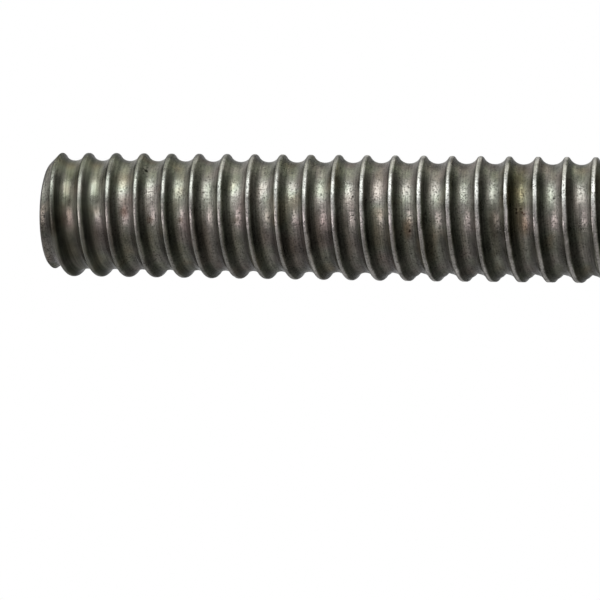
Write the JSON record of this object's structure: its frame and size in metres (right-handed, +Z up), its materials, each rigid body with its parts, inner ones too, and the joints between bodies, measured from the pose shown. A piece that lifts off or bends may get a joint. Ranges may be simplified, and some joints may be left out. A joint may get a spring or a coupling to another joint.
{
  "type": "threaded rod",
  "caption": "Coil-threaded steel rod: a coarse, round-rooted right-hand thread rolled along its whole length, with sawn and bevelled ends, for coil nuts and formwork ties.",
  "frame": {"origin": "centre of the lower sawn end, on the rod's axis", "axes": "+Z runs up the rod's axis to the upper sawn end; the thread's crest runs out of the upper end 99 degrees anticlockwise from +X, seen from above"},
  "size_m": [0.0318, 0.0318, 0.2032],
  "materials": {
    "rolled_steel": "dark, oiled cold-rolled steel, rubbed bright along the crests"
  },
  "bodies": {
    "root": {"rod": "rolled_steel"}
  },
  "joints": []
}
